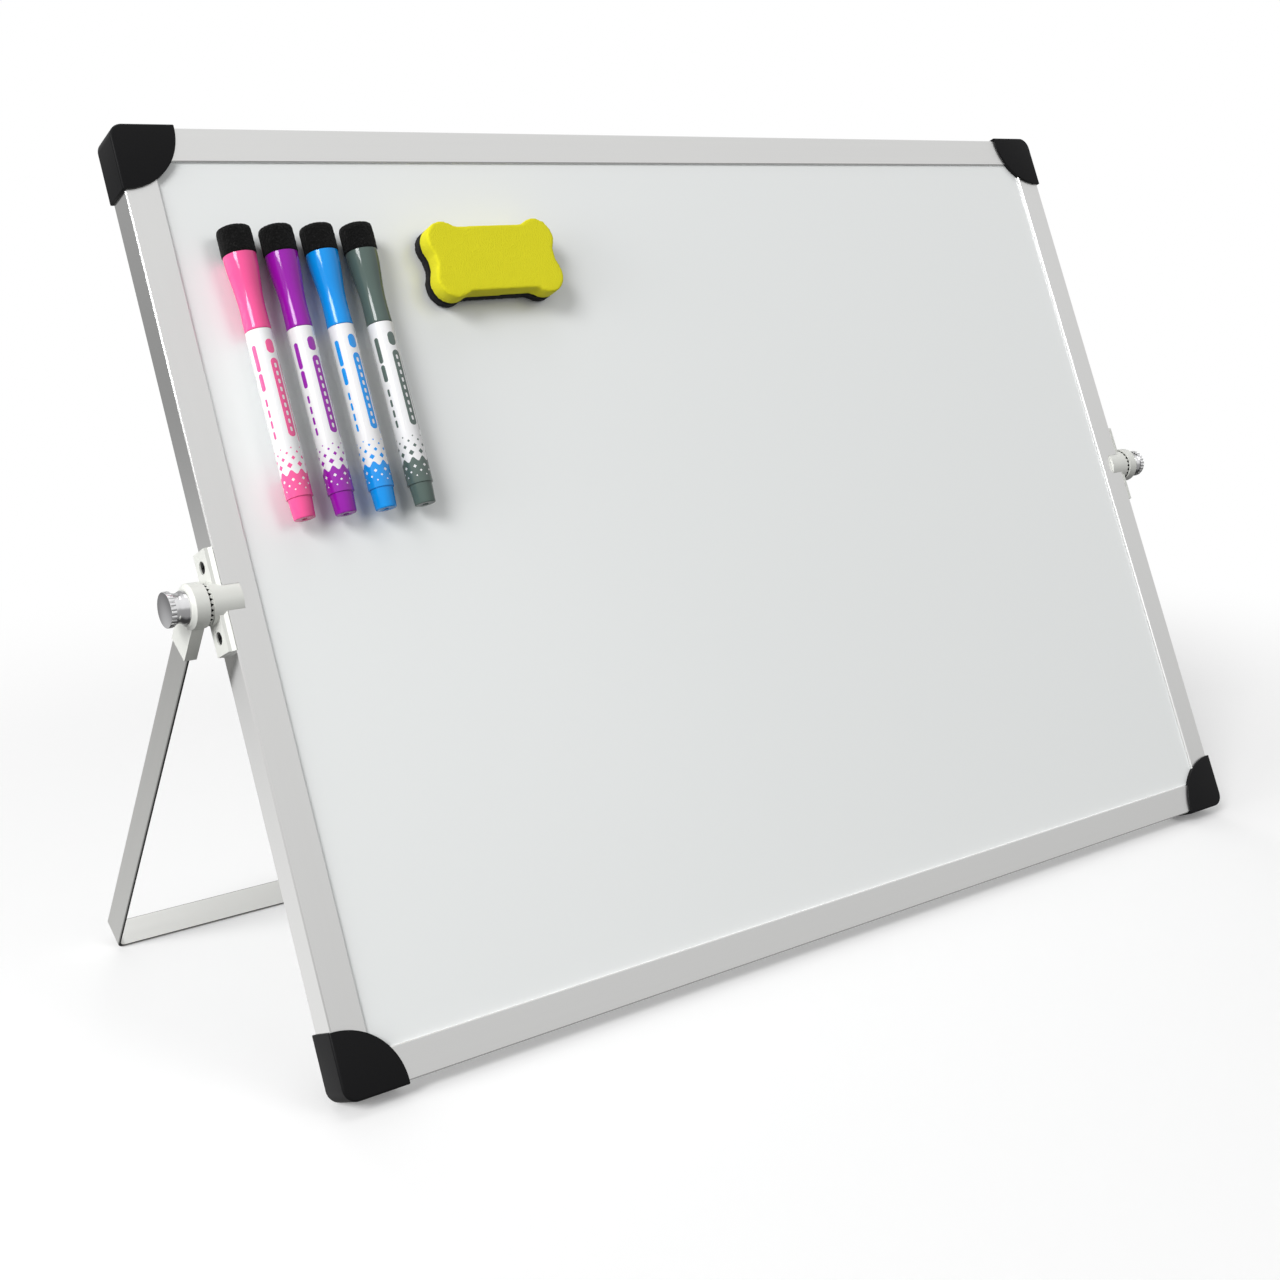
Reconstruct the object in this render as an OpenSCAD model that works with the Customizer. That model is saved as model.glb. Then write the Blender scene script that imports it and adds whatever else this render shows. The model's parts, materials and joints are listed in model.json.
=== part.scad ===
// Magnetic desk whiteboard on a U-shaped stand, with four magnetic markers and a magnetic eraser.
// The board leans back on its lower edge and on the stand, and tilts on a toothed clutch at each side.
// +X runs along the board, +Y points to its back, +Z up. The origin is on the table, under the middle.

/* [Board] */
// Width over the aluminium frame
board_w = 406.4; // [300:0.1:600]
// Height over the aluminium frame, along the board
board_h = 293.5; // [240:0.1:420]
// Depth of the frame, front to back
board_d = 10.7; // [9:0.1:14]
// Width of a frame rail, seen from the front
rail_w = 10.9; // [10:0.1:14]
// Wall of the rail's outer side
rail_wall = 1.2; // [1:0.1:1.4]
// Wall between the rail's hollow and the channel that holds the panel
web_t = 1; // [0.8:0.05:1.4]
// Depth of the writing face below the rail, which is also the lip's thickness
recess = 0.9; // [0.7:0.1:1.2]
// How far the panel's edge reaches into the rail
panel_bite = 4.1; // [3:0.1:4.4]
// Thickness of each steel writing sheet
sheet_t = 0.4; // [0.3:0.05:0.8]
// Angle by which the board leans back from upright
lean = 25; // [15:0.5:32]

/* [Corner caps] */
// Radius of the cap's inner edge, from the frame's corner
cap_r = 19.8; // [17:0.1:26]
// How far the cap stands out from the frame
cap_proud = 0.9; // [0.8:0.05:1.5]
// Radius of the cap's outer corner
cap_corner_r = 4.5; // [2:0.1:8]
// Rounding of the cap's edges
cap_edge_r = 0.7; // [0.3:0.05:0.75]
// Length of the tongues that plug into the rails
tongue_l = 14; // [8:0.5:30]

/* [Hinge brackets] */
// Height of the tilt axis above the board's lower edge
pivot_h = 147.8; // [140:0.1:152]
// Length of the bracket along the rail
bracket_l = 31.2; // [28:0.1:36]
// Thickness of the bracket's plate
bracket_t = 2.2; // [2:0.1:3]
// Distance between the bracket's two screws
bracket_screw_gap = 21.4; // [20:0.1:24]
// Radius of the bracket's hub, which crosses the rail
hub_r = 6.5; // [6.4:0.05:6.7]
// How far the hub reaches into the rail
hub_depth = 5.5; // [5:0.1:5.6]
// Height of the hub's shoulder above the plate
hub_shoulder = 1.6; // [1.2:0.1:2.5]
// Thickness of the hub's end under the insert
hub_bottom_t = 1.1; // [0.8:0.1:1.5]
// Outer radius of the brass threaded insert
insert_r = 2.8; // [2.7:0.05:2.95]
// Radius of a bracket screw's thread
screw_r = 1.45; // [1.2:0.05:1.6]
// Length of a bracket screw under its head
screw_l = 5.5; // [4:0.5:8]
// Radius of a bracket screw's head
screw_head_r = 1.8; // [1.7:0.05:2.1]
// Thickness of a bracket screw's head
screw_head_t = 1; // [0.8:0.05:1.2]
// Depth of the bracket screws' seats below the plate's face
screw_sink = 1.4; // [1.2:0.1:1.8]

/* [Clutch] */
// Number of teeth on each clutch face
teeth = 24; // [16:1:32]
// Height of a tooth
tooth_h = 1.2; // [0.8:0.05:1.4]
// Outer radius of the toothed face
tooth_r = 6.2; // [6:0.05:6.3]
// Outer radius of the clutch arm's barrel
barrel_r = 6.8; // [6.6:0.05:7.5]
// Length of the clutch arm's barrel
barrel_l = 5.2; // [5:0.1:6.5]
// Chamfer round the barrel's outer face
barrel_chamfer = 1.05; // [0.5:0.05:1.3]
// Thickness of the clutch arm below the barrel
arm_t = 3.9; // [3.4:0.1:4.4]
// Length of the clutch arm, from the axis to its lower end
arm_l = 17.7; // [15:0.1:24]

/* [Thumb screws] */
// Radius of the screw's shank
shank_r = 2; // [1.9:0.05:2.1]
// Length of the shank, below the knob
shank_l = 13; // [12.5:0.1:13.8]
// Length of the knob
knob_l = 6; // [5:0.1:9]
// Radius of the knob's knurled band
knob_r = 5.3; // [5:0.05:6.5]
// Length of the knurled band
knurl_l = 1.8; // [1.2:0.1:2.5]
// Number of grooves in the knurled band
knurl_n = 24; // [16:1:32]
// Radius of the knob's waist
waist_r = 4.3; // [3.6:0.05:4.6]
// Radius of the knob's foot
foot_r = 4.9; // [4.6:0.05:5]
// How far the screw backs out before its ring stops it
screw_travel = 2.1; // [1:0.1:2.1]
// Outer radius of the ring that keeps the screw captive
ring_r = 2.95; // [2.8:0.05:3]
// Thickness of the captive ring
ring_t = 1.2; // [0.8:0.1:1.3]

/* [Stand] */
// Distance from the tilt axis to the underside of the stand's foot
leg_l = 160.2; // [154:0.1:175]
// Width of the flat bar
bar_w = 10; // [8:0.1:11]
// Thickness of the flat bar
bar_t = 1; // [0.8:0.05:1.4]
// Outer radius of the bar's two bends
bend_r = 3; // [2:0.1:8]
// Thickness of the clutch arm outside the bar
arm_skin = 0.6; // [0.5:0.05:0.9]
// Width of the bar's end inside the clutch arm
tang_w = 7; // [5:0.1:7.2]
// Length of the bar's end inside the clutch arm
tang_l = 9; // [7:0.1:9.4]
// Radius of the hole that keys the bar's end into the arm
key_r = 1.6; // [1:0.05:2]

/* [Markers] */
// Distance from the board's left edge to the first marker's axis
marker_inset = 28.7; // [27:0.1:36]
// Distance from one marker to the next
marker_pitch = 13.8; // [12:0.1:16]
// Distance from the board's upper edge down to the top of the markers' felts
marker_drop = 35; // [15:0.1:60]
// Length of the end plug that shows
plug_l = 6.4; // [5:0.1:9]
// Radius of the end plug at the barrel
plug_r = 3.65; // [3.4:0.05:3.8]
// Length of the barrel that shows
barrel_show = 52.5; // [45:0.1:60]
// Radius of the marker's barrel
marker_r = 4.1; // [4:0.05:4.5]
// Radius of the barrel's bore
marker_bore_r = 3.05; // [2.9:0.05:3.1]
// Length of the end plug inside the barrel
plug_push_l = 6; // [4:0.5:10]
// Length of the barrel's spigot, inside the cap
spigot_l = 7; // [5:0.5:9]
// Length of the cone between the spigot and the nib
nose_l = 3.5; // [2:0.5:4]
// How far the nib stands out of the cone
nib_out = 3; // [2:0.5:3.5]
// How far the nib reaches down into the barrel
nib_soak = 2; // [1:0.5:5]
// Length of the cap without its felt
cap_l = 24.1; // [23:0.1:28]
// Radius of the cap's flared end
flare_r = 5.1; // [4.8:0.05:5.2]
// Length of the felt on the cap
tip_felt_l = 8.7; // [6:0.1:12]
// Radius of the felt on the cap
tip_felt_r = 5.3; // [5.2:0.05:5.8]
// Radius of the magnet in the cap
tip_magnet_r = 3; // [2:0.05:3.4]
// Thickness of the magnet in the cap
tip_magnet_t = 3; // [2:0.1:3.6]
// Radius of the writing nib
nib_r = 1; // [0.7:0.05:1.4]

/* [Eraser] */
// Distance from the board's left edge to the eraser's middle
eraser_inset = 117.4; // [112:0.1:140]
// Distance from the board's upper edge down to the eraser's middle
eraser_drop = 48.1; // [28:0.1:60]
// Turn of the eraser on the board, in degrees
eraser_turn = 0.7; // [0:0.1:3]
// Distance between the lobes' centres, along the eraser
lobe_gap_l = 36; // [32:0.1:44]
// Distance between the lobes' centres, across the eraser
lobe_gap_w = 13.2; // [12:0.1:18]
// Radius of the eraser's lobes
lobe_r = 6.5; // [6:0.1:8]
// How far the long sides dip between the lobes
side_dip = 1.9; // [1:0.1:2.5]
// How far the short ends dip between the lobes
end_dip = 1.4; // [0.8:0.1:2]
// Thickness of the felt pad
pad_t = 3.5; // [2.5:0.1:5]
// Thickness of the foam grip
foam_t = 6; // [5:0.1:9]
// Length of the magnet in the eraser
bar_magnet_l = 24; // [12:0.5:28]
// Width of the magnet in the eraser
bar_magnet_w = 9; // [6:0.5:12]
// Thickness of the magnet in the eraser
bar_magnet_t = 1.6; // [1:0.1:3]

/* [Clearances] */
// Gap between pieces that slide together and stay
fit_gap = 0.1; // [0.05:0.01:0.15]
// Radial gap of a pressed or screwed piece
press_gap = 0.02; // [0.01:0.01:0.05]
// Radial gap of a shaft that turns in its bore
run_gap = 0.05; // [0.03:0.01:0.09]
// Gap between the tooth tips and the barrel's rim
rim_gap = 0.1; // [0.05:0.01:0.15]
// Depth of the arm's own tooth tips below that rim
tooth_sink = 0.2; // [0.15:0.01:0.3]
// Gap between a felt pad and the writing face
soft_gap = 0.2; // [0.1:0.05:0.3]

/* [Hidden] */
$fn = 48;
// How far a cutting shape runs past what it cuts
cut = 1;

// Edges and small steps of the frame
rail_chamfer = 0.4;
lip_chamfer = 0.3;

// Edges and small steps of the bracket, its screws and the clutch
bracket_flare_w = 0.9;
bracket_flare_t = 1.1;
insert_sink = 0.2;
root_band = 0.15;
groove_share = 0.94;
cross_l = 2.5;
cross_w = 0.5;
cross_depth = 0.6;
ring_lift = 0.6;
ring_room = 0.35;
arm_setback = 0.2;

// Edges and small steps of the thumb screw
thread_chamfer = 0.3;
knob_chamfer = 0.2;
foot_band = 0.5;
waist_band = 0.9;
knurl_cut = 0.5;

// Edges and small steps of the markers
plug_taper = 0.35;
plug_chamfer = 0.35;
plug_hole_r = 0.8;
spigot_wall = 0.2;
spigot_end_t = 2;
nose_wall = 0.8;
cap_waist = 0.15;
waist_share = 0.3;
magnet_sink = 1;
cap_floor_t = 1;
felt_edge_r = 1;

marker_names = ["pink", "purple", "blue", "green"];
marker_colors = [[0.93, 0.35, 0.6], [0.58, 0.15, 0.64], [0.09, 0.56, 0.88], [0.32, 0.4, 0.37]];

// Rail section, measured from its outer side
channel_a = rail_w - panel_bite - 2 * fit_gap;
chamber_b = channel_a - web_t;
rail_end = rail_w + fit_gap;
tongue_in = rail_wall + fit_gap;
tongue_w = chamber_b - rail_wall - 2 * fit_gap;
tongue_d = board_d - 2 * recess - 2 * fit_gap;

// Where the board stands: its caps' rounded back edge touches the table
cap_inset = cap_proud - cap_edge_r;
board_z = cap_edge_r + (board_d + cap_inset) * sin(lean) + cap_inset * cos(lean);
pivot_y = pivot_h * sin(lean) + board_d / 2 * cos(lean);
pivot_z = board_z + pivot_h * cos(lean) - board_d / 2 * sin(lean);

// Where the stand stands: the front lower edge of its foot touches the table
reach = norm([leg_l, bar_w / 2]);
stand_angle = atan2(bar_w / 2, leg_l) + acos(pivot_z / reach);
stand_y = pivot_y + leg_l * sin(stand_angle) - bar_w / 2 * cos(stand_angle);

// Middle of the whole, front to back
front_y = cap_inset * (-sin(lean) - cos(lean)) - cap_edge_r;
back_y = stand_y + bar_w * cos(stand_angle);
mid_y = (front_y + back_y) / 2;

// Stations along the tilt axis, measured outwards from the board's middle
rail_face = board_w / 2;
plate_face = rail_face + bracket_t;
hub_end = rail_face - hub_depth;
hub_floor = hub_end + hub_bottom_t;
insert_top = plate_face - insert_sink;
tooth_root = plate_face + hub_shoulder;
tooth_tip = tooth_root + tooth_h;
rim = tooth_tip + rim_gap;
arm_tooth_tip = rim + tooth_sink;
barrel_face = rim + barrel_l;
ring_low = plate_face + ring_lift;
ring_stop = ring_low + ring_t + screw_travel + fit_gap;
ring_pocket_r = ring_r + ring_room;
knob_seat = barrel_face + run_gap;
knob_end = knob_seat + knob_l;
arm_in = rim + arm_setback;
arm_out = arm_in + arm_t;
bar_out = arm_out - arm_skin;
bar_in = bar_out - bar_t;
screw_seat = plate_face - screw_sink;

// Marker stations, measured from its lower end
cap_mouth = plug_l + barrel_show;
cap_top = cap_mouth + cap_l;
magnet_low = cap_top - magnet_sink - tip_magnet_t;
cap_bore_top = magnet_low - cap_floor_t;
spigot_r = marker_bore_r + spigot_wall;
spigot_top = cap_mouth + spigot_l;
nose_top = spigot_top + nose_l;
nib_low = cap_mouth - nib_soak;
nib_tip = nose_top + nib_out;
reservoir_low = plug_l + plug_push_l + fit_gap;
reservoir_top = spigot_top - spigot_end_t - fit_gap;
felt_top = cap_top + tip_felt_l;
marker_y = recess - soft_gap - tip_felt_r;
marker_low = board_h - marker_drop - felt_top;

// Radius of the hollows between the eraser's lobes
blend_r = 5;

// Placing modules
module in_board() translate([0, -mid_y, board_z]) rotate([-lean, 0, 0]) children();
module in_stand() translate([0, stand_y - mid_y, 0]) rotate([stand_angle, 0, 0]) children();
// side is -1 for the left and 1 for the right
module on_side(side) { if (side > 0) mirror([1, 0, 0]) children(); else children(); }
// In the next two, local X points up, local Y back, and local Z outwards along the tilt axis
module board_axis(side)
    in_board() on_side(side) translate([0, board_d / 2, pivot_h]) rotate([0, -90, 0]) children();
module stand_axis(side)
    in_stand() on_side(side) translate([0, bar_w / 2, leg_l]) rotate([0, -90, 0]) children();

module tube_from(r, low, high) translate([0, 0, low]) cylinder(r = r, h = high - low);

// A square with two rounded corners at its start, drawn with true arcs
module rounded_edge(len, depth, r) {
    translate([r, 0]) square([len - r, depth]);
    translate([0, r]) square([len, depth - 2 * r]);
    translate([r, r]) circle(r);
    translate([r, depth - r]) circle(r);
}

// Aluminium frame: outer side, hollow chamber, web, and the channel that holds the panel
module rail_section() {
    difference() {
        polygon([[rail_chamfer, 0], [rail_w - lip_chamfer, 0], [rail_w, lip_chamfer],
                 [rail_w, board_d - lip_chamfer], [rail_w - lip_chamfer, board_d],
                 [rail_chamfer, board_d], [0, board_d - rail_chamfer], [0, rail_chamfer]]);
        translate([rail_wall, recess]) square([chamber_b - rail_wall, board_d - 2 * recess]);
        translate([channel_a, recess]) square([rail_w, board_d - 2 * recess]);
    }
}

module rail_long() {
    color("silver") translate([rail_face - rail_end, 0, 0]) rotate([0, -90, 0])
        linear_extrude(board_w - 2 * rail_end) rail_section();
}

module rail_side() {
    color("silver") difference() {
        translate([-rail_face, 0, rail_end]) linear_extrude(board_h - 2 * rail_end) rail_section();
        translate([0, board_d / 2, pivot_h]) rotate([0, -90, 0]) {
            tube_from(hub_r + fit_gap, hub_end - fit_gap, rail_face + cut);
            for (s = [-1, 1]) translate([s * bracket_screw_gap / 2, 0, 0])
                tube_from(screw_r + press_gap, chamber_b + rail_face - rail_w, rail_face + cut);
        }
    }
}

module frame_rail_bottom() in_board() rail_long();
module frame_rail_top() in_board() translate([0, 0, board_h]) mirror([0, 0, 1]) rail_long();
module frame_rail_left() in_board() rail_side();
module frame_rail_right() in_board() on_side(1) rail_side();

// Panel: a steel sheet on each face of a light core, held in the rails' channel
module panel_layer(low, high, grow = 0) {
    edge = channel_a + 2 * fit_gap - grow;
    translate([-rail_face + edge, low, edge]) cube([board_w - 2 * edge, high - low, board_h - 2 * edge]);
}
module front_sheet() color("white") in_board() panel_layer(recess, recess + sheet_t);
module rear_sheet() color("white") in_board() panel_layer(board_d - recess - sheet_t, board_d - recess);
module board_core() color("tan") in_board() panel_layer(recess + sheet_t, board_d - recess - sheet_t);

// Corner cap: a quarter-round shell over the corner, with a tongue for each rail
module cap_side() rounded_edge(cap_r + cap_proud, board_d + 2 * cap_proud, cap_edge_r);
module cap_blank() {
    size = cap_r + cap_proud;
    translate([-cap_proud, -cap_proud, -cap_proud]) {
        translate([0, 0, cap_corner_r]) linear_extrude(size) cap_side();
        translate([size + cap_corner_r, 0, 0]) rotate([0, -90, 0]) linear_extrude(size) cap_side();
        translate([cap_corner_r, 0, cap_corner_r]) rotate([-90, 0, 0]) rotate_extrude()
            translate([cap_corner_r, 0]) mirror([1, 0])
                rounded_edge(cap_corner_r, board_d + 2 * cap_proud, cap_edge_r);
    }
}
module corner_cap() {
    color([0.08, 0.08, 0.09]) translate([-rail_face, 0, 0]) {
        difference() {
            intersection() {
                cap_blank();
                translate([0, -2 * cap_proud, 0]) rotate([-90, 0, 0])
                    cylinder(r = cap_r, h = board_d + 4 * cap_proud);
            }
            translate([rail_end, 0, 0]) cube([cap_r, board_d, rail_w]);
            translate([0, 0, rail_end]) cube([rail_w, board_d, cap_r]);
            translate([rail_face, 0, 0]) panel_layer(recess, board_d - recess, fit_gap);
        }
        translate([rail_w - cut, recess + fit_gap, tongue_in]) cube([tongue_l + cut, tongue_d, tongue_w]);
        translate([tongue_in, recess + fit_gap, rail_w - cut]) cube([tongue_w, tongue_d, tongue_l + cut]);
    }
}
module to_top() translate([0, 0, board_h]) mirror([0, 0, 1]) children();
module corner_cap_bottom_left() in_board() corner_cap();
module corner_cap_bottom_right() in_board() on_side(1) corner_cap();
module corner_cap_top_left() in_board() to_top() corner_cap();
module corner_cap_top_right() in_board() to_top() on_side(1) corner_cap();

// V-groove that runs out from the axis and gets deeper with its radius, for a toothed face at height 0
module tooth_groove() {
    half = PI * tooth_r / teeth * groove_share;
    rotate([0, atan(tooth_h / tooth_r), 0]) rotate([90, 0, 90]) linear_extrude(2 * tooth_r)
        polygon([[0, 0], [2 * half, 2 * tooth_h], [-2 * half, 2 * tooth_h]]);
}
module tooth_grooves() for (i = [0:teeth - 1]) rotate([0, 0, i * 360 / teeth]) tooth_groove();

// Hinge bracket: a plate that flares to the rail's depth, and a hub that crosses the rail and carries the teeth
module bracket_plate() {
    half = board_d / 2;
    neck = half - bracket_flare_w;
    flare_top = rail_face + bracket_flare_t;
    translate([-bracket_l / 2, 0, 0]) rotate([90, 0, 90]) linear_extrude(bracket_l)
        polygon([[-half, rail_face], [-neck, flare_top], [-neck, plate_face],
                 [neck, plate_face], [neck, flare_top], [half, rail_face]]);
}
module hinge_bracket(side) {
    color("whitesmoke") board_axis(side) difference() {
        union() {
            bracket_plate();
            tube_from(hub_r, hub_end, tooth_root - root_band);
            tube_from(tooth_r, hub_end, tooth_tip);
        }
        translate([0, 0, tooth_tip]) intersection() {
            tooth_grooves();
            tube_from(tooth_r + fit_gap, -tooth_h - fit_gap, cut);
        }
        tube_from(ring_pocket_r, plate_face, tooth_tip + cut);
        tube_from(insert_r + press_gap, hub_floor, plate_face + cut);
        for (s = [-1, 1]) translate([s * bracket_screw_gap / 2, 0, 0]) {
            tube_from(screw_head_r + 2 * fit_gap, screw_seat, plate_face + cut);
            tube_from(screw_r + fit_gap, rail_face - cut, plate_face);
        }
    }
}
module hinge_bracket_left() hinge_bracket(-1);
module hinge_bracket_right() hinge_bracket(1);

// Brass insert that takes the thumb screw's thread
module threaded_insert(side) {
    color("goldenrod") board_axis(side) difference() {
        tube_from(insert_r, hub_floor, insert_top);
        tube_from(shank_r + run_gap, hub_floor - cut, insert_top + cut);
    }
}
module threaded_insert_left() threaded_insert(-1);
module threaded_insert_right() threaded_insert(1);

// Four pan-head screws with a cross recess, deep in the brackets' counterbores
module bracket_screw() {
    difference() {
        union() {
            tube_from(screw_head_r, screw_seat, screw_seat + screw_head_t);
            tube_from(screw_r, screw_seat - screw_l, screw_seat);
        }
        translate([0, 0, screw_seat + screw_head_t]) for (a = [0, 90]) rotate([0, 0, a])
            cube([cross_l, cross_w, 2 * cross_depth], center = true);
    }
}
module bracket_screws() {
    color("dimgray") for (side = [-1, 1]) for (s = [-1, 1])
        board_axis(side) translate([s * bracket_screw_gap / 2, 0, 0]) bracket_screw();
}

// U-shaped stand, bent from one flat bar, with a narrow tang at each end
module u_outline() {
    for (s = [-1, 1]) {
        translate([s > 0 ? bar_in : -bar_out, bend_r]) square([bar_t, leg_l - arm_l - bend_r]);
        translate([s * (bar_out - bend_r), bend_r]) bend_ring(s);
    }
    translate([bend_r - bar_out, 0]) square([2 * (bar_out - bend_r), bar_t]);
}
module bend_ring(s) {
    intersection() {
        difference() {
            circle(bend_r);
            circle(bend_r - bar_t);
        }
        translate([s > 0 ? 0 : -bend_r, -bend_r]) square(bend_r);
    }
}
module bar_tang(side) {
    stand_axis(side) difference() {
        translate([-arm_l - cut, -tang_w / 2, bar_in]) cube([tang_l + cut, tang_w, bar_t]);
        translate([tang_l / 2 - arm_l, 0, 0]) tube_from(key_r + press_gap, bar_in - cut, bar_out + cut);
    }
}
module stand_bar() {
    color("silver") {
        in_stand() translate([0, bar_w, 0]) rotate([90, 0, 0]) linear_extrude(bar_w) u_outline();
        bar_tang(-1);
        bar_tang(1);
    }
}

// Clutch arm: the stand's half of the clutch, moulded round the bar's end
module clutch_arm(side) {
    color("whitesmoke") stand_axis(side) {
        difference() {
            union() {
                tube_from(barrel_r, rim, barrel_face - barrel_chamfer);
                translate([0, 0, barrel_face - barrel_chamfer])
                    cylinder(r1 = barrel_r, r2 = barrel_r - barrel_chamfer, h = barrel_chamfer);
                translate([-arm_l, -bar_w / 2, arm_in]) cube([arm_l, bar_w, arm_t]);
            }
            tube_from(tooth_r + fit_gap, rim - cut, arm_tooth_tip);
            translate([0, 0, arm_tooth_tip]) intersection() {
                mirror([0, 0, 1]) tooth_grooves();
                tube_from(tooth_r + fit_gap, -cut, tooth_h + cut);
            }
            tube_from(ring_pocket_r, rim - cut, ring_stop);
            tube_from(shank_r + run_gap, rim, barrel_face + cut);
            translate([-arm_l - cut, -tang_w / 2 - fit_gap, bar_in - fit_gap])
                cube([tang_l + cut + fit_gap, tang_w + 2 * fit_gap, bar_t + 2 * fit_gap]);
        }
        translate([tang_l / 2 - arm_l, 0, 0]) tube_from(key_r, bar_in - 2 * fit_gap, bar_out + 2 * fit_gap);
    }
}
module clutch_arm_left() clutch_arm(-1);
module clutch_arm_right() clutch_arm(1);

// Thumb screw: chromed knob with a knurled band, a waist and a foot, on a plain stand-in for its thread
module thumb_screw(side) {
    waist_low = knob_seat + foot_band;
    waist_l = knob_l - knurl_l - foot_band - waist_band;
    color("gainsboro") board_axis(side) {
        rotate_extrude() polygon(concat(
            [[0, knob_seat - shank_l], [shank_r - thread_chamfer, knob_seat - shank_l],
             [shank_r, knob_seat - shank_l + thread_chamfer], [shank_r, knob_seat],
             [foot_r, knob_seat], [foot_r, waist_low]],
            [for (a = [18:18:90]) [foot_r - (foot_r - waist_r) * sin(a), waist_low + waist_l * a / 90]],
            [[waist_r, knob_end - knurl_l / 2], [0, knob_end - knurl_l / 2]]));
        difference() {
            union() {
                tube_from(knob_r, knob_end - knurl_l, knob_end - knob_chamfer);
                translate([0, 0, knob_end - knob_chamfer])
                    cylinder(r1 = knob_r, r2 = knob_r - knob_chamfer, h = knob_chamfer);
            }
            for (i = [0:knurl_n - 1]) rotate([0, 0, i * 360 / knurl_n])
                translate([knob_r, 0, knob_end - knurl_l / 2]) rotate([0, 0, 45])
                    cube([knurl_cut, knurl_cut, knurl_l + cut], center = true);
        }
    }
}
module thumb_screw_left() thumb_screw(-1);
module thumb_screw_right() thumb_screw(1);

// Nylon ring on the shank, between the two clutch faces, that keeps the screw from dropping out
module captive_ring(side) {
    color("white") board_axis(side) difference() {
        tube_from(ring_r, ring_low, ring_low + ring_t);
        tube_from(shank_r + run_gap, ring_low - cut, ring_low + ring_t + cut);
    }
}
module captive_ring_left() captive_ring(-1);
module captive_ring_right() captive_ring(1);

// Markers hang upright on the writing face, held by the magnet in each cap
module at_marker(i)
    in_board() translate([marker_inset - rail_face + i * marker_pitch, marker_y, marker_low]) children();

module marker_barrel(i) {
    color("white") at_marker(i) difference() {
        rotate_extrude() polygon([
            [0, plug_l], [marker_r, plug_l], [marker_r, cap_mouth], [spigot_r, cap_mouth],
            [spigot_r, spigot_top], [nib_r + nose_wall, nose_top], [0, nose_top]]);
        tube_from(marker_bore_r, plug_l - cut, spigot_top - spigot_end_t);
        tube_from(nib_r + press_gap, plug_l, nib_tip);
    }
}
module marker_plug(i) {
    end_r = plug_r - plug_taper;
    push_r = marker_bore_r - press_gap;
    color(marker_colors[i]) at_marker(i) difference() {
        rotate_extrude() polygon([
            [0, 0], [end_r - plug_chamfer, 0], [end_r, plug_chamfer], [plug_r, plug_l],
            [push_r, plug_l], [push_r, plug_l + plug_push_l], [0, plug_l + plug_push_l]]);
        tube_from(plug_hole_r, -cut, plug_l / 2);
    }
}
// Bullet nib that runs from the ink reservoir to the tip
module marker_nib(i) {
    color([0.12, 0.12, 0.12]) at_marker(i) {
        tube_from(nib_r, nib_low, nib_tip - nib_r);
        translate([0, 0, nib_tip - nib_r]) sphere(nib_r);
    }
}
module marker_reservoir(i) {
    color("ivory") at_marker(i) difference() {
        tube_from(marker_bore_r - fit_gap, reservoir_low, reservoir_top);
        tube_from(nib_r + fit_gap, nib_low - fit_gap, reservoir_top + cut);
    }
}
// Cap that grips the barrel's spigot, waisted near its mouth and flared to the felt
function cap_radius(t) = t < waist_share
    ? marker_r - cap_waist * sin(90 * t / waist_share)
    : marker_r - cap_waist
      + (flare_r - marker_r + cap_waist) * (1 - cos(180 * (t - waist_share) / (1 - waist_share))) / 2;
module marker_cap(i) {
    steps = 14;
    low = cap_mouth + fit_gap;
    color(marker_colors[i]) at_marker(i) difference() {
        rotate_extrude() polygon(concat(
            [[0, low]],
            [for (k = [0:steps]) [cap_radius(k / steps), low + (cap_top - low) * k / steps]],
            [[0, cap_top]]));
        tube_from(spigot_r + run_gap, cap_mouth - cut, cap_bore_top);
        tube_from(tip_magnet_r + press_gap, magnet_low, cap_top + cut);
    }
}
module marker_magnet(i) {
    color("gray") at_marker(i) tube_from(tip_magnet_r, magnet_low, magnet_low + tip_magnet_t);
}
module marker_felt(i) {
    round_r = tip_felt_r - felt_edge_r;
    round_z = felt_top - felt_edge_r;
    color([0.07, 0.07, 0.07]) at_marker(i) rotate_extrude() polygon(concat(
        [[0, cap_top], [tip_felt_r, cap_top]],
        [for (a = [0:22.5:90]) [round_r + felt_edge_r * cos(a), round_z + felt_edge_r * sin(a)]],
        [[0, felt_top]]));
}

// Eraser: foam grip with a magnet let into it, on a felt pad of the same outline
module at_eraser()
    in_board() translate([eraser_inset - rail_face, recess - soft_gap, board_h - eraser_drop])
        rotate([0, -eraser_turn, 0]) rotate([90, 0, 0]) children();
module eraser_outline() {
    offset(r = -blend_r) offset(r = blend_r) {
        for (s = [-1, 1]) for (t = [-1, 1])
            translate([s * lobe_gap_l / 2, t * lobe_gap_w / 2]) circle(lobe_r);
        square([lobe_gap_l + 2 * (lobe_r - end_dip), lobe_gap_w], center = true);
        square([lobe_gap_l, lobe_gap_w + 2 * (lobe_r - side_dip)], center = true);
    }
}
module eraser_felt() color([0.15, 0.15, 0.16]) at_eraser() linear_extrude(pad_t) eraser_outline();
module eraser_foam() {
    color([0.83, 0.81, 0.2]) at_eraser() difference() {
        translate([0, 0, pad_t]) linear_extrude(foam_t) eraser_outline();
        translate([0, 0, pad_t]) cube([bar_magnet_l + 2 * fit_gap, bar_magnet_w + 2 * fit_gap,
            2 * (bar_magnet_t + fit_gap)], center = true);
    }
}
module eraser_magnet() {
    color("gray") at_eraser() translate([-bar_magnet_l / 2, -bar_magnet_w / 2, pad_t])
        cube([bar_magnet_l, bar_magnet_w, bar_magnet_t]);
}

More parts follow.
